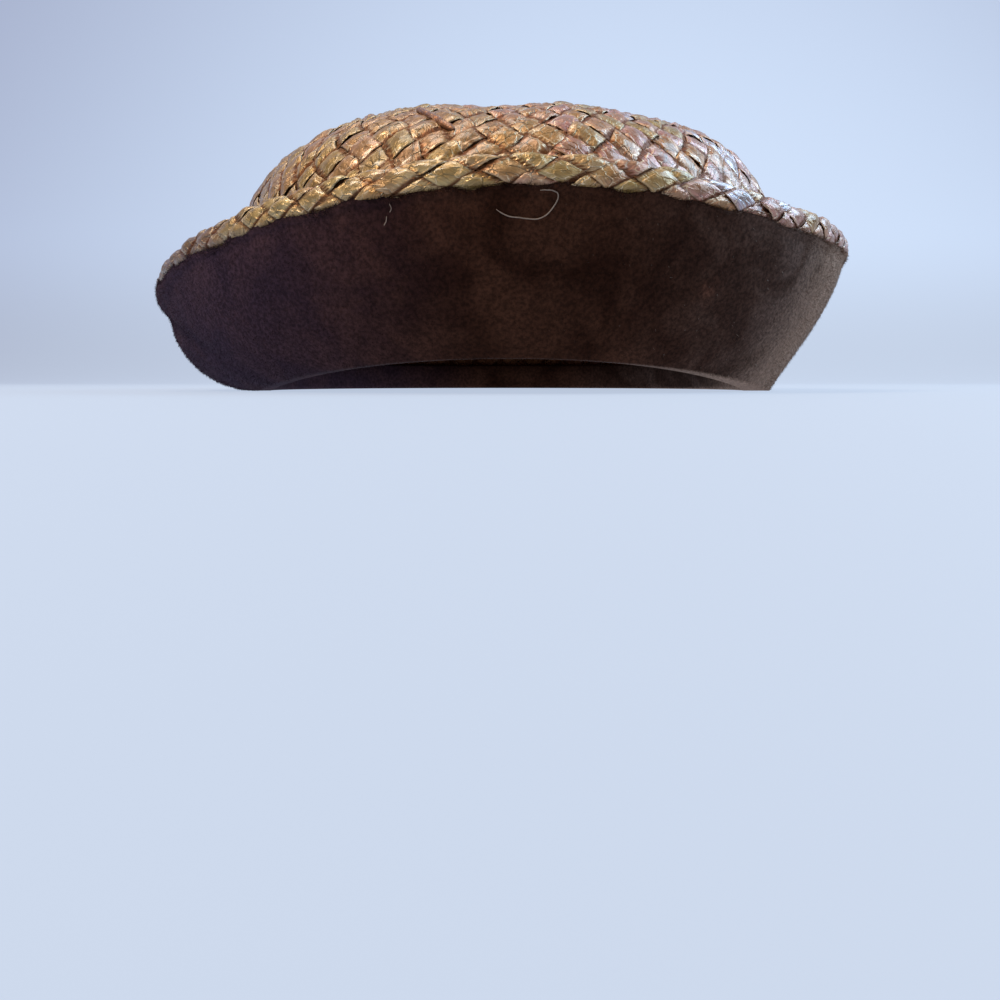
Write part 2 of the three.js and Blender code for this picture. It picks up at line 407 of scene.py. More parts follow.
def layRibbons(name, rows, over, place, stepsPerCell):
    # rows holds, for each ribbon, its number and the along-ribbon range of each point round its section
    looks = chance.uniform(-1, 1, weave["looks"])
    tints = chance.uniform(0, 1, weave["tints"])
    vertices, sides, ends, values, maps = [], [], [], [], []
    count = 0
    around = len(ribbonEdge)
    for ribbon, first, last in rows:
        steps = max(3, int(round(np.max(np.abs(last - first)) * stepsPerCell)) + 1)
        share = np.linspace(0, 1, steps)[:, None]
        along = first[None, :] * (1 - share) + last[None, :] * share
        cell = np.floor(along).astype(int)
        swell = np.sin(np.pi * (along - cell))
        across = np.broadcast_to(ribbonEdge, along.shape)
        width = weave["ribbonWidth"] * (1 + weave["widthChange"] * ribbonWave("widthWave", along, ribbon))
        side = ribbon + 0.5 + across * width / 2 + weave["sway"] * ribbonWave("swayWave", along, ribbon)
        base, normal, rimLight = place(ribbon, side, along)
        crumple = softNoise(base + over * weave["crumpleShift"], weave["crumpleSize"], weave["crumpleSeed"])
        ridges = 1 - 2 * np.minimum(np.abs(crumple), 1)
        high = ribbonHeights(across, cell, swell, ribbon, over, looks)
        high = high + ribbonSide * weave["thickness"] / 2 + weave["crumple"] * ridges
        vertices.append((base + normal * high[..., None]).reshape(-1, 3))
        s, e = tubeFaces(steps, around)
        sides.append(s + count)
        ends.append(e + count)
        count += steps * around
        # neighbours take tints that stand far apart in the list
        tint = tints[(ribbon * 7 + over * len(tints) // 2) % len(tints)]
        patch = tints[(cell * 13 + ribbon * 101 + over * 997) % len(tints)]
        shown = [tint + 0 * along, patch, high, swell, np.abs(across), rimLight]
        values.append(np.stack(shown, -1).reshape(-1, len(shown)))
        flat = np.stack([across, along], -1) * weave["mapSize"] + ribbon * np.array(weave["mapShift"])
        maps.append(flat.reshape(-1, 2))
    vertices, sides, ends = np.concatenate(vertices), np.concatenate(sides), np.concatenate(ends)
    a, b, c = (vertices[sides[:, k]] for k in (0, 1, 2))
    if np.einsum("ij,ij->i", a, np.cross(b, c)).sum() < 0:
        sides, ends = sides[:, ::-1], ends[:, ::-1]
    piece = makeMesh(name, vertices, [sides, ends])
    for label, column in zip(ribbonLabels, np.concatenate(values).T):
        addValues(piece, label, column)
    addMap(piece, "ribbonMap", np.concatenate(maps))
    return piece


# How the whole weave wanders: the cloth's size, the sizes of the waves round the hat and along the cloth, and
# the arms by which millimetres become a turn and a share of the length
crownDrift = {
    "radius": 90.0,
    "length": 120.0,
    "turnWaves": 55.0,
    "shareWaves": 50.0,
    "turnArm": 100.0,
    "shareArm": 35.0,
    "seeds": (21, 22),
}
brimDrift = {
    "radius": 90.0,
    "length": 50.0,
    "turnWaves": 60.0,
    "shareWaves": 45.0,
    "turnArm": 100.0,
    "shareArm": 60.0,
    "seeds": (23, 24),
}


def letDrift(turn, share, drift, fade):
    spot = [np.sin(turn) * drift["radius"], np.cos(turn) * drift["radius"], share * drift["length"]]
    spot = np.stack(spot, -1) * fade[..., None]
    turnSeed, shareSeed = drift["seeds"]
    turn = turn + weave["warp"] / drift["turnArm"] * softNoise(spot, drift["turnWaves"], turnSeed) * fade
    wave = softNoise(spot, drift["shareWaves"], shareSeed)
    return turn, share + weave["warp"] / drift["shareArm"] * wave * share * (1 - share)


# Crown weave: a square mat on the top, whose ribbons all go on down the sides at 45 degrees
crownSurface, crownLengths = crownTable(weave["inset"])


def clothLimit(turn):
    # how long the cloth is from the crown's top to its lower edge
    return np.interp(turn, tableTurns, crownLengths, period=fullTurn)


def crownPlace(flip):
    # a and b count the crossings from the middle along the two directions
    half, fold = weave["matHalf"], weave["matShare"]

    def place(ribbon, side, along):
        a, b = (along, side) if flip else (side, along)
        own = 1.0 if ribbon >= 0 else -1.0
        onward = np.where(along < 0, -1.0, 1.0)
        signA, signB = (onward, own) if flip else (own, onward)
        farA, farB = signA * a, signB * b
        middle = np.arctan2(signA, signB)
        aside = signA * signB * (farA - farB) * np.pi / 4
        ring = (farA + farB) / half

        # the mat: straight in the middle, and bent to the round at its edge
        bend = np.minimum(ring, 1) ** 2
        straight = np.arctan2(a, b)
        away = (middle + aside / np.maximum(farA + farB, 0.05) - straight + np.pi) % fullTurn - np.pi
        reach = weave["matDraw"] * math.sqrt(2) * np.hypot(a, b) / half
        reach = fold * (reach + bend * (ring - reach))

        turn = np.where(ring < 1, straight + bend * away, middle + aside / half) + np.pi / 4
        down = fold + (1 - fold) * (ring - 1) * half / (2 * weave["sideRows"])
        share = np.where(ring < 1, reach, down)
        turn, share = letDrift(turn, share, crownDrift, np.minimum(1, share / weave["matCalm"]))
        return *crownSurface.read(turn, share), 0 * turn
    return place


def crownRows():
    rows = []
    for ribbon in range(-weave["matHalf"], weave["matHalf"]):
        side = ribbon + 0.5 + ribbonEdge * weave["ribbonWidth"] / 2
        reach = weave["matHalf"] + 2 * weave["sideRows"] - side * (1 if ribbon >= 0 else -1)
        rows.append((ribbon, -reach, reach))
    return rows


crownPieces = [
    layRibbons("crown_warp", crownRows(), 0, crownPlace(False), weave["crownSteps"]),
    layRibbons("crown_weft", crownRows(), 1, crownPlace(True), weave["crownSteps"]),
]
for piece in crownPieces:
    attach(piece, "root")
    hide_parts("crown")
print("crown woven:", [len(p.data.polygons) for p in crownPieces])

# Brim weave: two bias directions round the brim, from its root over the rolled rim to the plush
brimSurface = brimTable(weave["inset"])


def brimPlace(way):
    # side counts ribbons of this direction, and along counts those of the other that it crosses
    def place(ribbon, side, along):
        turn = (side + along) / 2 / weave["brimRibbons"] * fullTurn
        share = way * (along - side) / (2 * weave["brimRows"])
        crowding = weave["rimCrowding"] + weave["frontCrowding"] * hill(turn, 0.0, weave["frontSpread"])
        share = share + crowding * share * (1 - share)
        turn, share = letDrift(turn, share, brimDrift, np.ones_like(share))
        point, normal = brimSurface.read(turn, share)
        fade = weave["seamFade"] + leftLap["fade"] * hill(turn, leftLap["middle"], leftLap["spread"])
        flat = np.clip((1 - share) / fade, weave["seamFlat"], 1)  # where the plush covers the ribbons
        # painted light: the rim's rolled top is paler, where it faces the key lamp
        rimLight = np.clip((share - weave["rimLightFrom"]) / weave["rimLightOver"], 0, 1)
        return point, normal * flat[..., None], rimLight
    return place


def brimRows(way):
    rows = []
    for ribbon in range(weave["brimRibbons"]):
        side = ribbon + 0.5 + ribbonEdge * weave["ribbonWidth"] / 2
        rows.append((ribbon, side, side + way * 2 * weave["brimRows"]))
    return rows


brimPieces = [
    layRibbons("brim_warp", brimRows(-1), 0, brimPlace(-1), weave["brimSteps"]),
    layRibbons("brim_weft", brimRows(1), 1, brimPlace(1), weave["brimSteps"]),
]
for piece in brimPieces:
    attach(piece, "root")
    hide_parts("brim")
print("brim woven:", [len(p.data.polygons) for p in brimPieces])

# Plush facing: the backing cloth that carries the pile, turned in under the hat as a hem
plush = {
    "turns": 300,
    "skinSteps": 44,
    "pileFibres": 45000,  # on the front half, and as many on the back half
    "pileLength": 1.0,
    "pileWidth": 0.15,
    "pileRoot": 0.25,  # how deep a fibre stands in the cloth
    "lengthRange": (0.6, 1.25),
    "lie": 0.6,  # how far the pile lies down
    "stand": 1.25,
    "sweep": (0.7, 0.5),  # how much of it lies downwards, and how far that changes from place to place
    "sweepSize": 26.0,
    "sweepSeed": 5,
    "swirlSize": 17.0,
    "swirlSeed": 3,
    "scatter": 0.3,
    "edgeShare": 0.992,  # where its top edge is, as a share of the wall's curve
    "edgeWander": 0.018,
    "edgeWaves": (16.0, 6.5),  # the sizes of its large and small waves
    "edgeSeeds": (7, 8),
    "fineWaves": 0.7,
    "edgeLap": 0.75,
    "lapStart": 0.95,
    "lapRise": 0.75,  # the share of the lap in which it rises
    "lapTurn": 0.6,  # how far it turns back in at its very edge
    "lapTurnFrom": 0.8,
    "lapTurnOver": 0.2,
    "edgeRound": (0.5, 1.0, 1.5),
    "edgeRise": 0.15,
    "edgeStand": 2.4,
    "edgeBand": 0.03,  # the share of the plush below its top edge whose pile stands up over the straw
    "edgeFibres": 0.13,  # the share of the pile that is in that band
    "edgeLength": 1.5,  # and how much longer it is there
    "backSteps": 12,
    "hemRound": (0.4, 0.5),  # how far below its top the hem's edge begins to turn, outside and inside
    "mapSize": (90, 20),
}


def smoothStep(value):
    value = np.clip(value, 0, 1)
    return value * value * (3 - 2 * value)


def plushSkin(turns, steps):
    # the outside of the plush from root to rim, where its edge wanders and laps a little over the straw
    places = np.stack([np.sin(turns), np.cos(turns), 0 * turns], -1) * hatForm["openingHalfLength"]
    large, small = (softNoise(places, *wave) for wave in zip(plush["edgeWaves"], plush["edgeSeeds"]))
    wander = large + plush["fineWaves"] * small
    left = hill(turns, leftLap["middle"], leftLap["spread"])
    top = (plush["edgeShare"] + plush["edgeWander"] * wander + leftLap["rise"] * left)[:, None]
    share = top * np.linspace(0, 1, steps)[None, :]
    start = (plush["lapStart"] - leftLap["start"] * left)[:, None]
    lap = (share - start) / (top - start)
    turnedIn = smoothStep((lap - plush["lapTurnFrom"]) / plush["lapTurnOver"])
    bulge = smoothStep(lap / plush["lapRise"]) - plush["lapTurn"] * turnedIn
    out = (plush["edgeLap"] + leftLap["out"] * left)[:, None]
    return brimPoint(turns[:, None], share, -out * bulge)


def plushSection(turns):
    wall = hatForm["facingWall"]
    column = turns[:, None]
    skin, along, inward = plushSkin(turns, plush["skinSteps"])
    depths = np.array(plush["edgeRound"])[None, :, None]
    edge = skin[:, -1:] + inward[:, -1:] * depths + along[:, -1:] * plush["edgeRise"]
    back, _, _ = brimPoint(column, np.linspace(1, 0, plush["backSteps"])[None, :], wall)
    floor = hemLevel(column)
    back[..., 1] = np.maximum(back[..., 1], floor + wall)
    radius = openingRadius(column)
    corner = hatForm["hemCorner"]
    middle, top = floor + hatForm["hemHeight"] / 2, floor + hatForm["hemHeight"]
    outside, inside = plush["hemRound"]
    hem = [
        (radius + wall, floor + wall),
        (radius + wall, middle),
        (radius + wall, top - outside),
        (radius + wall / 2, top),
        (radius, top - inside),
        (radius, middle),
        (radius, floor + corner),
        (radius + corner * 0.3, floor + corner * 0.3),
        (radius + corner, floor),
        ((radius + corner + skin[:, :1, 0]) / 2, floor),
    ]
    hem = np.stack([np.stack([r, z + 0 * r], -1) for r, z in hem], 1)[:, :, 0]
    return np.concatenate([skin, edge, back, hem], 1)


def makeFacing():
    turns = np.linspace(0, fullTurn, plush["turns"], endpoint=False)
    section = plushSection(turns)
    points = standUp(turns[:, None], section)
    count, around = points.shape[:2]
    k, a = np.meshgrid(np.arange(count), np.arange(around), indexing="ij")
    here, after, b = k * around, (k + 1) % count * around, (a + 1) % around
    faces = np.stack([here + a, after + a, after + b, here + b], -1).reshape(-1, 4)
    piece = makeMesh("plush_facing", points.reshape(-1, 3), faces)
    places = np.stack([k / count, a / around], -1) * plush["mapSize"]
    addMap(piece, "clothMap", places.reshape(-1, 2))
    return piece


def skinTable():
    # from the plush's top edge down
    skin, _, _ = plushSkin(tableTurns, tableSteps["plush"])
    even, lengths = evenSteps(skin, tableSteps["evenPlush"])
    return TurnedSurface(standUp(tableTurns[:, None], even[:, ::-1])), lengths


skinSurface, skinLengths = skinTable()


def makePile(name, middle):
    # short fibres, each a thin closed spike of three sides, on one half of the brim
    count = plush["pileFibres"] // 1
    turn = np.radians(middle) + chance.uniform(-np.pi / 2, np.pi / 2, count)
    share = chance.uniform(0.0, 1.0, count)
    share[: int(count * plush["edgeFibres"])] *= plush["edgeBand"]
    root, normal = skinSurface.read(turn, share)
    below, _ = skinSurface.read(turn, share + 0.01)
    down = below - root + np.array([0, 0, -1e-3])
    down /= np.linalg.norm(down, axis=-1, keepdims=True)
    side = np.cross(normal, down)
    swirl = softNoise(root, plush["swirlSize"], plush["swirlSeed"])[:, None]
    downward, change = plush["sweep"]
    wave = softNoise(root, plush["sweepSize"], plush["sweepSeed"])[:, None]
    sweep = down * (downward + change * wave) + side * swirl
    scatter = chance.normal(size=(count, 3)) * plush["scatter"]
    edge = np.clip(1 - share / plush["edgeBand"], 0, 1)[:, None]
    sweep = sweep - plush["edgeStand"] * down * edge  # up over the straw at the top
    way = normal * (plush["stand"] - plush["lie"]) + sweep * plush["lie"] + scatter
    way /= np.linalg.norm(way, axis=-1, keepdims=True)
    length = plush["pileLength"] * chance.uniform(*plush["lengthRange"], count)[:, None]
    length = length * (1 + (plush["edgeLength"] - 1) * edge)
    first = np.cross(way, normal + chance.normal(size=(count, 3)) * 0.05)
    first /= np.linalg.norm(first, axis=-1, keepdims=True)
    second = np.cross(way, first)
    foot = root - normal * plush["pileRoot"]
    corners = []
    for angle in (0, fullTurn / 3, 2 * fullTurn / 3):
        corners.append(foot + plush["pileWidth"] / 2 * (first * math.cos(angle) + second * math.sin(angle)))
    points = np.stack([*corners, foot + way * length], 1).reshape(-1, 3)
    base = np.arange(count)[:, None] * 4
    faces = np.concatenate([base + np.array([f]) for f in ((0, 2, 1), (0, 1, 3), (1, 2, 3), (2, 0, 3))])
    piece = makeMesh(name, points, faces, smooth=False)
    addValues(piece, "fibreTint", np.repeat(chance.uniform(0, 1, count), 4))
    layer = piece.data.attributes.new("skinNormal", "FLOAT_VECTOR", "POINT")
    layer.data.foreach_set("vector", np.repeat(normal, 4, 0).astype(np.float32).ravel())
    return piece


facing = makeFacing()
plushPieces = [facing, makePile("plush_pile_front", 0.0), makePile("plush_pile_back", 180.0)]
for piece in plushPieces:
    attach(piece, "root")
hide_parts("brim_facing")
print("plush made:", [len(p.data.polygons) for p in plushPieces])

# Loose threads on the front of the plush: a curled one and two stray hairs. A place on a route is in degrees
# from the front to the right, and in millimetres down from the plush's top edge.
threads = (
    {
        "width": 0.26,
        "lift": 0.55,
        "route": ((-1.5, 5), (0, 6.7), (2.1, 7.4), (3.8, 6.6), (5, 4.2), (5.1, 2.4), (4.2, 1.1), (3.2, 1)),
    },
    {"width": 0.18, "lift": 0.5, "route": ((-13.3, 1.0), (-13.1, 2.0), (-13.3, 3.0))},
    {"width": 0.2, "lift": 0.55, "route": ((-13.7, 4.1), (-13.8, 5.2), (-14.1, 6.2))},
)
# On the crown, one ribbon is folded into a thin roll. Its millimetres run from the crown's top.
foldedStrand = {
    "width": 1.9,
    "lift": 0.7,
    "route": ((-19.5, 71.6), (-17.4, 75.5), (-15.5, 78.8), (-13.0, 83.2), (-11.2, 86.4), (-9.0, 89.7)),
}
strandSides = 8
strandSteps = 9  # for each point of a route


def strandTube(surface, lengthAt, width, lift, route):
    # a thin closed tube along a smooth curve through the route, thinner at its ends
    route = np.array(route)
    places = np.linspace(0, len(route) - 1, strandSteps * len(route))
    row = np.minimum(places.astype(int), len(route) - 2)
    near = [route[np.clip(row + k, 0, len(route) - 1)] for k in (-1, 0, 1, 2)]
    curve = smoothCurve(*near, (places - row)[:, None])
    turn = np.radians(curve[:, 0])
    point, normal = surface.read(turn, curve[:, 1] / lengthAt(turn))
    centre = point + normal * lift
    way = np.gradient(centre, axis=0)
    way /= np.linalg.norm(way, axis=-1, keepdims=True)
    first = np.cross(way, normal)[:, None]
    angles = (np.arange(strandSides) / strandSides * fullTurn)[None, :, None]
    onward = np.linspace(0, 1, len(centre))[:, None, None]
    thin = np.minimum(1, 0.4 + 8 * onward * (1 - onward))
    flat = first * np.cos(angles) + 0.75 * normal[:, None] * np.sin(angles)
    rings = centre[:, None] + width / 2 * thin * flat
    return rings.reshape(-1, 3), *tubeFaces(len(centre), strandSides)


def makeThreads():
    vertices, sides, ends = [], [], []
    for strand in threads:
        count = sum(map(len, vertices))
        rings, side, end = strandTube(skinSurface, lambda turn: skinLengths[0], **strand)
        vertices.append(rings)
        sides.append(side + count)
        ends.append(end + count)
    piece = makeMesh("loose_threads", np.concatenate(vertices), [np.concatenate(sides), np.concatenate(ends)])
    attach(piece, "root")
    return piece


def makeFoldedStrand():
    rings, sides, ends = strandTube(crownSurface, clothLimit, **foldedStrand)
    piece = makeMesh("folded_strand", rings, [sides, ends])
    turnShare = np.arange(len(rings)) % strandSides / strandSides
    places = np.arange(len(rings)) // strandSides / 2
    for label, value in zip(ribbonLabels, (0.9, 0.9, 0.24, 1.0, 0.6)):
        addValues(piece, label, value + 0 * places)
    addMap(piece, "ribbonMap", np.stack([turnShare * 4, places], -1))
    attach(piece, "root")
    return piece


looseThreads = makeThreads()
strand = makeFoldedStrand()
print("threads laid")


# Materials
def newGroup(name, inputs, outputs):
    group = bpy.data.node_groups.new(name, "ShaderNodeTree")
    for label, kind, value in inputs:
        socket = group.interface.new_socket(name=label, in_out="INPUT", socket_type=kind)
        if value is not None:
            socket.default_value = value
    for label, kind in outputs:
        group.interface.new_socket(name=label, in_out="OUTPUT", socket_type=kind)
    return group, group.nodes.new("NodeGroupInput"), group.nodes.new("NodeGroupOutput")


def addNode(tree, kind, settings=None, **inputs):
    # settings go on the node itself, and inputs on its sockets, by name or by number as in i0. An input is a
    # socket to link from, or a value.
    node = tree.nodes.new(kind)
    for label, value in (settings or {}).items():
        setattr(node, label, value)
    for label, value in inputs.items():
        key = int(label[1:]) if label[0] == "i" and label[1:].isdigit() else label.replace("_", " ")
        if isinstance(value, bpy.types.NodeSocket):
            tree.links.new(value, node.inputs[key])
        else:
            node.inputs[key].default_value = value
    return node


def maths(tree, operation, first, second=0.0, third=0.0):
    return addNode(tree, "ShaderNodeMath", {"operation": operation}, i0=first, i1=second, i2=third).outputs[0]


def vectorMaths(tree, operation, first, second, third=(0.0, 0.0, 0.0)):
    return addNode(tree, "ShaderNodeVectorMath", {"operation": operation}, i0=first, i1=second, i2=third)


def multiplied(tree, *factors):
    product = factors[0]
    for factor in factors[1:]:
        product = maths(tree, "MULTIPLY", product, factor)
    return product


def spread(tree, value, low, high, first=0.0, last=1.0):
    # from first to last in a smooth step, as the value goes from low to high
    settings = {"interpolation_type": "SMOOTHSTEP"}
    ends = {"From_Min": low, "From_Max": high, "To_Min": first, "To_Max": last}
    return addNode(tree, "ShaderNodeMapRange", settings, Value=value, **ends).outputs[0]


def blendColours(tree, factor, first, second):
    # each colour is a socket, or its red, green and blue
    ends = [end if isinstance(end, bpy.types.NodeSocket) else (*end, 1.0) for end in (first, second)]
    return addNode(tree, "ShaderNodeMix", {"data_type": "RGBA"}, i0=factor, i6=ends[0], i7=ends[1]).outputs[2]


def scaleColour(tree, colour, factor):
    return addNode(tree, "ShaderNodeVectorMath", {"operation": "SCALE"}, i0=colour, Scale=factor).outputs[0]


def colourRamp(tree, factor, stops):
    node = addNode(tree, "ShaderNodeValToRGB", Fac=factor)
    ramp = node.color_ramp
    while len(ramp.elements) < len(stops):
        ramp.elements.new(0.5)
    for element, (place, colour) in zip(ramp.elements, stops):
        element.position = place
        element.color = (*colour, 1.0)
    return node.outputs[0]


def attribute(tree, name, kind="Fac"):
    return addNode(tree, "ShaderNodeAttribute", {"attribute_name": name}).outputs[kind]


def noise(tree, vector, scale, detail=2.0, roughness=0.5, distortion=0.0):
    node = addNode(tree, "ShaderNodeTexNoise", Vector=vector, Scale=scale, Detail=detail, Roughness=roughness,
                   Distortion=distortion)
    return node.outputs[0]


def voronoiNode(tree, vector, scale, feature):
    settings = {"voronoi_dimensions": "2D", "feature": feature}
    return addNode(tree, "ShaderNodeTexVoronoi", settings, Vector=vector, Scale=scale)


def ribbonCrinkleGroup():
    # crumpled straw film, on a map in millimetres across and along the ribbon: flat facets that each lean
    # their own way, the creases between them, where the straw paints highlights, and streaks along the grain
    group, inputs, outputs = newGroup(
        "ribbonCrinkle",
        (("Map", "NodeSocketVector", None), ("Facet Size", "NodeSocketFloat", 2.0)),
        (("Height", "NodeSocketFloat"), ("Creases", "NodeSocketFloat"), ("Streaks", "NodeSocketFloat")),
    )
    scaled = vectorMaths(group, "DIVIDE", inputs.outputs["Map"], inputs.outputs["Facet Size"]).outputs[0]
    bend = addNode(group, "ShaderNodeTexNoise", Vector=scaled, Scale=0.9, Detail=2.0).outputs[1]
    bent = vectorMaths(group, "MULTIPLY_ADD", bend, (0.9, 0.9, 0.0), scaled).outputs[0]
    longer = vectorMaths(group, "MULTIPLY", bent, (1.0, 0.62, 0.0)).outputs[0]
    facet = voronoiNode(group, longer, 0.75, "F1")
    edge = voronoiNode(group, longer, 0.75, "DISTANCE_TO_EDGE").outputs["Distance"]
    fine = voronoiNode(group, longer, 2.1, "DISTANCE_TO_EDGE").outputs["Distance"]
    away = vectorMaths(group, "SUBTRACT", longer, facet.outputs["Position"]).outputs[0]
    way = vectorMaths(group, "SUBTRACT", facet.outputs["Color"], (0.5, 0.5, 0.5)).outputs[0]
    lean = vectorMaths(group, "DOT_PRODUCT", away, way).outputs["Value"]
    lean = multiplied(group, lean, spread(group, edge, 0.0, 0.16))
    streaky = vectorMaths(group, "MULTIPLY", scaled, (2.8, 0.3, 1.0)).outputs[0]
    streaks = noise(group, streaky, 1.0, 3.0, 0.6, 0.4)
    ridge = spread(group, edge, 0.12, 0.0, 0.0, 0.09)
    height = maths(group, "ADD", multiplied(group, lean, 1.5), ridge)
    height = maths(group, "SUBTRACT", height, multiplied(group, fine, 0.15))
    height = maths(group, "ADD", height, multiplied(group, streaks, 0.1))
    fineCreases = spread(group, fine, 0.06, 0.0, 0.0, 0.6)
    creases = maths(group, "MAXIMUM", spread(group, edge, 0.075, 0.0), fineCreases)
    group.links.new(height, outputs.inputs["Height"])
    group.links.new(creases, outputs.inputs["Creases"])
    group.links.new(streaks, outputs.inputs["Streaks"])
    return group


def plushMottleGroup():
    # patches where the pile lies another way, and its fine grain
    group, inputs, outputs = newGroup(
        "plushMottle",
        (("Place", "NodeSocketVector", None), ("Patch Size", "NodeSocketFloat", 0.016)),
        (("Patches", "NodeSocketFloat"), ("Grain", "NodeSocketFloat")),
    )
    scaled = vectorMaths(group, "DIVIDE", inputs.outputs["Place"], inputs.outputs["Patch Size"]).outputs[0]
    patches = noise(group, scaled, 1.0, 3.0, 0.55, 0.7)
    grain = noise(group, inputs.outputs["Place"], 1100.0, 2.0, 0.6)
    group.links.new(spread(group, patches, 0.3, 0.72), outputs.inputs["Patches"])
    group.links.new(grain, outputs.inputs["Grain"])
    return group


ribbonCrinkle = ribbonCrinkleGroup()
plushMottle = plushMottleGroup()


def newMaterial(name):
    material = bpy.data.materials.new(name)
    material.use_nodes = True
    tree = material.node_tree
    return material, tree, tree.nodes["Principled BSDF"]


def setShader(shader, **values):
    for label, value in values.items():
        shader.inputs[label.replace("_", " ")].default_value = value


# Words that end in Across are the metres from the middle, to the right, between which a colour comes in
strawLook = {
    "ramp": ("gold", "tan", "gold", "amber", "mauve"),
    "rampPlaces": (0.25, 0.45, 0.56, 0.66, 0.8),
    "paintedLightAcross": (-0.07, 0.065),
    "paintedLightShare": 0.5,  # how much its place across the hat (painted light, warm gold to the left and cool mauve to the right), a ribbon's own tint and each crossing move it along the ramp
    "ribbonShare": 0.3,
    "cellShare": 0.28,
    "gold": (0.335, 0.205, 0.055),
    "tan": (0.375, 0.175, 0.072),
    "amber": (0.375, 0.155, 0.037),
    "mauve": (0.4, 0.165, 0.125),
    # painted shade at the far left end of the rim
    "leftEndShade": (0.13, 0.07, 0.055),
    "leftEndShadeAcross": (-0.05, -0.08),
    "leftEndShadeStrength": 0.9,
    "paintedRimLight": (0.58, 0.42, 0.18),  # painted light on the rim's rolled top, in patches, less towards the right
    "paintedRimLightAcross": (0.06, 0.0),
    "paintedRimLightStrength": 0.6,
    "paintedRimLightPatches": 90.0,
    "middle": (0.22, 0.12, 0.03),
    "middleStrength": 0.45,
    # painted highlights on the creases and on the ribbons' edges
    "crease": (0.85, 0.64, 0.4),
    "creaseStrength": 0.95,
    "edgeHighlightStrength": 0.3,
    "paintedGlare": (0.5, 0.55, 0.66),  # painted reflection of the bright window on a few crossings towards the right
    "paintedGlareAcross": (0.015, 0.04),
    "paintedGlareStrength": 0.7,
    "paintedGlareShare": 0.13,
    "streaks": (0.75, 1.25),
    # painted shade in the crevices, where ribbons dive under their neighbours
    "creviceShade": (0.13, 0.042, 0.017),
    "creviceStrength": 0.9,
    "creviceRoughness": 0.75,
    "coat": 0.45,
    "facetSize": 1.4,
    "roughness": (0.28, 0.5),
    "metallic": 0.3,  # and how much more in a crevice
    "creviceMetallic": 0.65,
    "bump": 0.0007,
}


def strawTint(tree, place, right):
    # the film's own colour with painted light from left to right, painted light on the rim and painted shade
    # at the left end
    look = strawLook
    # painted light: the colour runs from warm gold on the left to cool mauve on the right
    drift = multiplied(tree, spread(tree, right, *look["paintedLightAcross"]), look["paintedLightShare"])
    ribbonTint = multiplied(tree, attribute(tree, "ribbonTint"), look["ribbonShare"])
    cellTint = multiplied(tree, attribute(tree, "cellTint"), look["cellShare"])
    mixed = maths(tree, "ADD", drift, maths(tree, "ADD", ribbonTint, cellTint))
    stops = [(at, look[colour]) for at, colour in zip(look["rampPlaces"], look["ramp"])]
    colour = colourRamp(tree, mixed, stops)
    # painted light on the rim's rolled top, in patches and fading towards the right
    patches = spread(tree, noise(tree, place, look["paintedRimLightPatches"]), 0.3, 0.65)
    across = spread(tree, right, *look["paintedRimLightAcross"], 0.0, look["paintedRimLightStrength"])
    paintedRimLight = multiplied(tree, attribute(tree, "rimLight"), patches, across)
    colour = blendColours(tree, paintedRimLight, colour, look["paintedRimLight"])
    # painted shade: the straw at the far left is darker and browner
    shadedLeft = spread(tree, right, *look["leftEndShadeAcross"], 0.0, look["leftEndShadeStrength"])
    return blendColours(tree, shadedLeft, colour, look["leftEndShade"])


def paintedStrawGlare(tree, right, streaks, colour):
    look = strawLook
    # painted reflection: a few crossings towards the right take the pale blue of the window's glare
    few = maths(tree, "GREATER_THAN", attribute(tree, "cellTint"), 1 - look["paintedGlareShare"])
    bright = spread(tree, streaks, 0.4, 0.6, 0.2, look["paintedGlareStrength"])
    glare = multiplied(tree, few, spread(tree, right, *look["paintedGlareAcross"]), bright)
    return blendColours(tree, glare, colour, look["paintedGlare"])


def crossingMarks(tree, ribbonMap, creases, colour):
    # a darker middle on each crossing, and painted highlights on the creases round it and on the ribbon's
    # edges
    look = strawLook
    acrossRibbon = attribute(tree, "acrossRibbon")
    inside = maths(tree, "SUBTRACT", 1.0, multiplied(tree, acrossRibbon, acrossRibbon))
    blotch = multiplied(tree, noise(tree, ribbonMap, 0.4), 0.7)
    middle = maths(tree, "ADD", multiplied(tree, attribute(tree, "alongCell"), inside), blotch)
    patch = spread(tree, middle, 0.85, 1.2, 0.0, look["middleStrength"])
    colour = blendColours(tree, patch, colour, look["middle"])
    flecks = spread(tree, noise(tree, ribbonMap, 0.3, 2.0), 0.32, 0.56, 0.0, look["creaseStrength"])
    creases = multiplied(tree, creases, multiplied(tree, flecks, spread(tree, middle, 1.1, 0.8)))
    edgeHighlight = multiplied(tree, spread(tree, acrossRibbon, 0.78, 0.98), look["edgeHighlightStrength"])
    return blendColours(tree, maths(tree, "MAXIMUM", creases, edgeHighlight), colour, look["crease"])


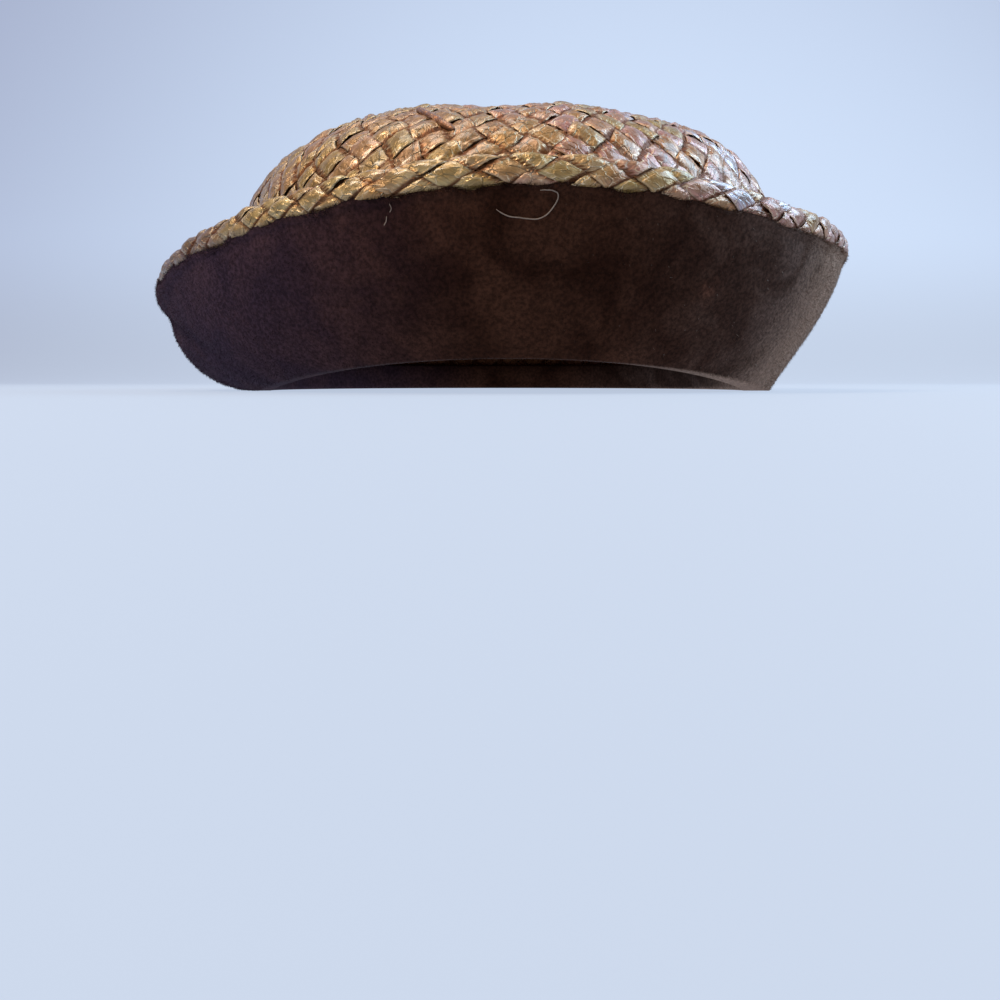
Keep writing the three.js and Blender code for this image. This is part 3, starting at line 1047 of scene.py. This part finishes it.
def strawMaterial():
    look = strawLook
    material, tree, shader = newMaterial("glossyStraw")
    place = addNode(tree, "ShaderNodeTexCoord").outputs["Object"]
    right = addNode(tree, "ShaderNodeSeparateXYZ", Vector=place).outputs["X"]
    ribbonMap = addNode(tree, "ShaderNodeUVMap", {"uv_map": "ribbonMap"}).outputs[0]
    settings = {"node_tree": ribbonCrinkle}
    crinkle = addNode(tree, "ShaderNodeGroup", settings, Map=ribbonMap, Facet_Size=look["facetSize"]).outputs
    colour = paintedStrawGlare(tree, right, crinkle["Streaks"], strawTint(tree, place, right))
    colour = scaleColour(tree, colour, spread(tree, crinkle["Streaks"], 0.25, 0.75, *look["streaks"]))
    colour = crossingMarks(tree, ribbonMap, crinkle["Creases"], colour)
    # painted shade, brown, where a ribbon dives under or lies low, and duller there
    dive = spread(tree, attribute(tree, "alongCell"), 0.56, 0.2)
    low = spread(tree, attribute(tree, "ribbonHeight"), 0.42, 0.08)
    deep = multiplied(tree, maths(tree, "MAXIMUM", dive, low), look["creviceStrength"])
    tree.links.new(blendColours(tree, deep, colour, look["creviceShade"]), shader.inputs["Base Color"])
    shine = spread(tree, noise(tree, ribbonMap, 0.5, 2.0, 0.6), 0.3, 0.7, *look["roughness"])
    dull = multiplied(tree, deep, look["creviceRoughness"])
    tree.links.new(maths(tree, "MAXIMUM", shine, dull), shader.inputs["Roughness"])
    coat = multiplied(tree, maths(tree, "SUBTRACT", 1.0, deep), look["coat"])
    tree.links.new(coat, shader.inputs["Coat Weight"])
    metallic = maths(tree, "MULTIPLY_ADD", deep, look["creviceMetallic"], look["metallic"])
    tree.links.new(metallic, shader.inputs["Metallic"])
    setShader(shader, Coat_Roughness=0.18, Specular_IOR_Level=0.4)
    bump = addNode(tree, "ShaderNodeBump", Height=crinkle["Height"], Strength=1.0, Distance=look["bump"])
    tree.links.new(bump.outputs[0], shader.inputs["Normal"])
    return material


plushLook = {
    "dark": (0.0205, 0.0066, 0.0034),
    "light": (0.051, 0.0195, 0.0108),
    "patchSize": 0.016,
    "paintedCoolLight": (0.05, 0.034, 0.062),
    "paintedCoolLightAcross": (0.0, -0.09),
    "paintedCoolLightStrength": 0.6,
    "paintedRightLight": (0.1, 0.066, 0.054),
    "paintedRightLightAcross": (0.02, 0.09),
    "paintedSheen": (0.33, 0.215, 0.155),  # painted sheen, where the cloth turns away
    "paintedSheenAcross": (0.02, 0.06),
    "paintedSheenStrength": 0.72,
    "rust": (0.12, 0.05, 0.032),
    "rustPlace": (0.0473, -0.0943, 0.023),
    "rustSize": 0.0042,
    "rustStrength": 0.6,
    "dust": (0.3, 0.24, 0.2),  # on a few fibres
    "dustAcross": (0.0, 0.07),
    "dustShare": 0.01,
    "fibreShades": (0.7, 1.4),
    "clothShades": (0.65, 1.4),
    "sheen": 0.1,
    "bump": 0.0003,
}


def plushColour(tree, place, right, patches, facing):
    # dark and light patches, painted cool light to the left, painted light in greyer patches and a painted
    # sheen to the right, and one rusty blotch
    look = plushLook
    colour = blendColours(tree, patches, look["dark"], look["light"])
    # painted light: cooler and bluer towards the left
    coolLit = spread(tree, right, *look["paintedCoolLightAcross"], 0.0, look["paintedCoolLightStrength"])
    colour = blendColours(tree, coolLit, colour, look["paintedCoolLight"])
    # painted light: lighter, greyer patches towards the right
    rightLit = spread(tree, patches, 0.1, 0.9, 0.3, 0.9)
    rightLit = multiplied(tree, rightLit, spread(tree, right, *look["paintedRightLightAcross"]))
    colour = blendColours(tree, rightLit, colour, look["paintedRightLight"])
    # painted sheen: paler where the surface turns away from the view, towards the right
    sheened = spread(tree, facing, 0.5, 0.88, 0.0, look["paintedSheenStrength"])
    sheened = multiplied(tree, sheened, spread(tree, right, *look["paintedSheenAcross"]))
    colour = blendColours(tree, sheened, colour, look["paintedSheen"])
    away = vectorMaths(tree, "DISTANCE", place, look["rustPlace"]).outputs["Value"]
    ragged = multiplied(tree, noise(tree, place, 420.0, 2.0), 2 * look["rustSize"])
    away = maths(tree, "ADD", away, ragged)
    rusty = spread(tree, away, 2 * look["rustSize"], 0.6 * look["rustSize"], 0.0, look["rustStrength"])
    return blendColours(tree, rusty, colour, look["rust"])


def plushMaterial(name, forFibres):
    look = plushLook
    material, tree, shader = newMaterial(name)
    place = addNode(tree, "ShaderNodeTexCoord").outputs["Object"]
    right = addNode(tree, "ShaderNodeSeparateXYZ", Vector=place).outputs["X"]
    settings = {"node_tree": plushMottle}
    mottle = addNode(tree, "ShaderNodeGroup", settings, Place=place, Patch_Size=look["patchSize"]).outputs
    turning = addNode(tree, "ShaderNodeLayerWeight", Blend=0.5)
    colour = plushColour(tree, place, right, mottle["Patches"], turning.outputs["Facing"])
    setShader(shader, Roughness=0.9, Specular_IOR_Level=0.05)
    if forFibres:
        tree.links.new(attribute(tree, "skinNormal", "Vector"), turning.inputs["Normal"])
        fibreTint = attribute(tree, "fibreTint")
        colour = scaleColour(tree, colour, spread(tree, fibreTint, 0.0, 1.0, *look["fibreShades"]))
        dusty = maths(tree, "GREATER_THAN", fibreTint, 1 - look["dustShare"])
        dusty = multiplied(tree, dusty, spread(tree, right, *look["dustAcross"]))
        colour = blendColours(tree, dusty, colour, look["dust"])
        setShader(shader, Sheen_Weight=look["sheen"], Sheen_Roughness=0.45, Sheen_Tint=(0.7, 0.5, 0.45, 1.0))
    else:
        colour = scaleColour(tree, colour, spread(tree, mottle["Grain"], 0.3, 0.7, *look["clothShades"]))
        bump = addNode(tree, "ShaderNodeBump", Height=mottle["Grain"], Strength=0.4, Distance=look["bump"])
        tree.links.new(bump.outputs[0], shader.inputs["Normal"])
    tree.links.new(colour, shader.inputs["Base Color"])
    return material


threadLook = {"dark": (0.16, 0.11, 0.08), "light": (0.3, 0.22, 0.17), "streaks": 900.0}


def threadMaterial():
    material, tree, shader = newMaterial("paleThread")
    place = addNode(tree, "ShaderNodeTexCoord").outputs["Object"]
    streaks = noise(tree, place, threadLook["streaks"])
    colour = blendColours(tree, streaks, threadLook["dark"], threadLook["light"])
    tree.links.new(colour, shader.inputs["Base Color"])
    setShader(shader, Roughness=0.45)
    return material


straw = strawMaterial()
for piece in crownPieces + brimPieces + [strand]:
    piece.data.materials.append(straw)
facing.data.materials.append(plushMaterial("plushCloth", False))
fibreMaterial = plushMaterial("plushFibre", True)
for piece in plushPieces[1:]:
    piece.data.materials.append(fibreMaterial)
looseThreads.data.materials.append(threadMaterial())
print("materials set")

# Studio: a pale floor that curves up into the backdrop, soft lights and the camera
studio = {
    "floorColour": (0.08, 0.08, 0.08),
    "glow": (0.6, 0.72, 0.92),  # the backdrop is lit from behind, most at one place of it
    "glowPlace": (0.3, 0.0, 0.1),
    "glowReach": (0.2, 1.75),
    "glowFar": (0.34, 0.385, 0.54),
    "floorGlow": (0.83, 0.8, 0.78),  # the share of it that the floor has
    "floorFade": 0.25,
    "floorDepth": 0.7,
    "wallHeight": 2.2,
    "floorFront": 2.0,
    "halfWidth": 3.0,
    "curve": 1.1,
    "curveSteps": 24,
    "world": (0.86, 0.9, 1.0),
    "worldStrength": 0.28,
}


def makeFloor():
    curve = studio["curve"]
    profile = [(-studio["floorFront"], 0.0), (studio["floorDepth"], 0.0)]
    for k in range(1, studio["curveSteps"] + 1):
        angle = k / studio["curveSteps"] * math.pi / 2
        profile.append((studio["floorDepth"] + curve * math.sin(angle), curve * (1 - math.cos(angle))))
    profile.append((studio["floorDepth"] + curve, studio["wallHeight"] + curve))
    half = studio["halfWidth"]
    vertices = [(x, y, z) for y, z in profile for x in (-half, half)]
    faces = [(2 * k, 2 * k + 1, 2 * k + 3, 2 * k + 2) for k in range(len(profile) - 1)]
    mesh = bpy.data.meshes.new("studio_floor")
    mesh.from_pydata(vertices, [], faces)
    for face in mesh.polygons:
        face.use_smooth = True
    floor = bpy.data.objects.new("studio_floor", mesh)
    bpy.context.scene.collection.objects.link(floor)
    material, tree, shader = newMaterial("paleFloor")
    setShader(shader, Base_Color=(*studio["floorColour"], 1.0), Roughness=0.8, Specular_IOR_Level=0.1,
              Emission_Strength=1.0)
    place = addNode(tree, "ShaderNodeTexCoord").outputs["Object"]
    upright = vectorMaths(tree, "MULTIPLY", place, (1.0, 0.0, 1.0)).outputs[0]
    away = vectorMaths(tree, "DISTANCE", upright, studio["glowPlace"]).outputs["Value"]
    fade = spread(tree, away, *studio["glowReach"])
    glow = blendColours(tree, fade, studio["glow"], studio["glowFar"])
    rising = addNode(tree, "ShaderNodeSeparateXYZ", Vector=place).outputs["Z"]
    above = spread(tree, rising, 0.0, studio["floorFade"])
    dimmed = blendColours(tree, above, studio["floorGlow"], (1.0, 1.0, 1.0))
    glow = vectorMaths(tree, "MULTIPLY", glow, dimmed)
    tree.links.new(glow.outputs[0], shader.inputs["Emission Color"])
    mesh.materials.append(material)


lights = (
    {"name": "keyLeft", "place": (-0.45, -0.4, 0.7), "size": 0.25, "power": 5.5, "colour": (1.0, 0.86, 0.68)},
    {"name": "windowRight", "place": (0.7, 0.1, 0.6), "size": 0.7, "power": 11, "colour": (0.48, 0.74, 1.0)},
    {"name": "topSoft", "place": (-0.2, 0.1, 1.0), "size": 0.5, "power": 3.5, "colour": (1.0, 0.93, 0.84)},
)
lightsAim = (0.0, 0.0, 0.04)


def addLights():
    for light in lights:
        data = bpy.data.lights.new(light["name"], "AREA")
        data.shape = "DISK"
        data.size = light["size"]
        data.energy = light["power"]
        data.color = light["colour"]
        lamp = bpy.data.objects.new(light["name"], data)
        lamp.location = light["place"]
        lamp.rotation_euler = (Vector(lightsAim) - lamp.location).to_track_quat("-Z", "Y").to_euler()
        bpy.context.scene.collection.objects.link(lamp)
    world = bpy.data.worlds.new("softRoom")
    world.use_nodes = True
    background = world.node_tree.nodes["Background"]
    background.inputs[0].default_value = (*studio["world"], 1.0)
    background.inputs[1].default_value = studio["worldStrength"]
    bpy.context.scene.world = world


cameraView = {
    "distance": 0.3413,  # in front of the middle of the hat, in metres, just above the surface it rests on
    "height": 0.003,
    "side": 0.0002,
    "downTilt": 0.1115,
    "focalPixels": 1068.0,
    "picturePixels": 1000,
    "sensorWidth": 36.0,
}


def addCamera():
    data = bpy.data.cameras.new("view")
    data.sensor_width = cameraView["sensorWidth"]
    data.lens = data.sensor_width * cameraView["focalPixels"] / cameraView["picturePixels"]
    data.clip_start = 0.001
    camera = bpy.data.objects.new("view", data)
    camera.location = (cameraView["side"], -cameraView["distance"], cameraView["height"])
    camera.rotation_euler = (math.pi / 2 - cameraView["downTilt"], 0.0, 0.0)
    bpy.context.scene.collection.objects.link(camera)
    bpy.context.scene.camera = camera


makeFloor()
addLights()
addCamera()
bpy.context.scene.view_settings.view_transform = "Standard"
print("studio ready")
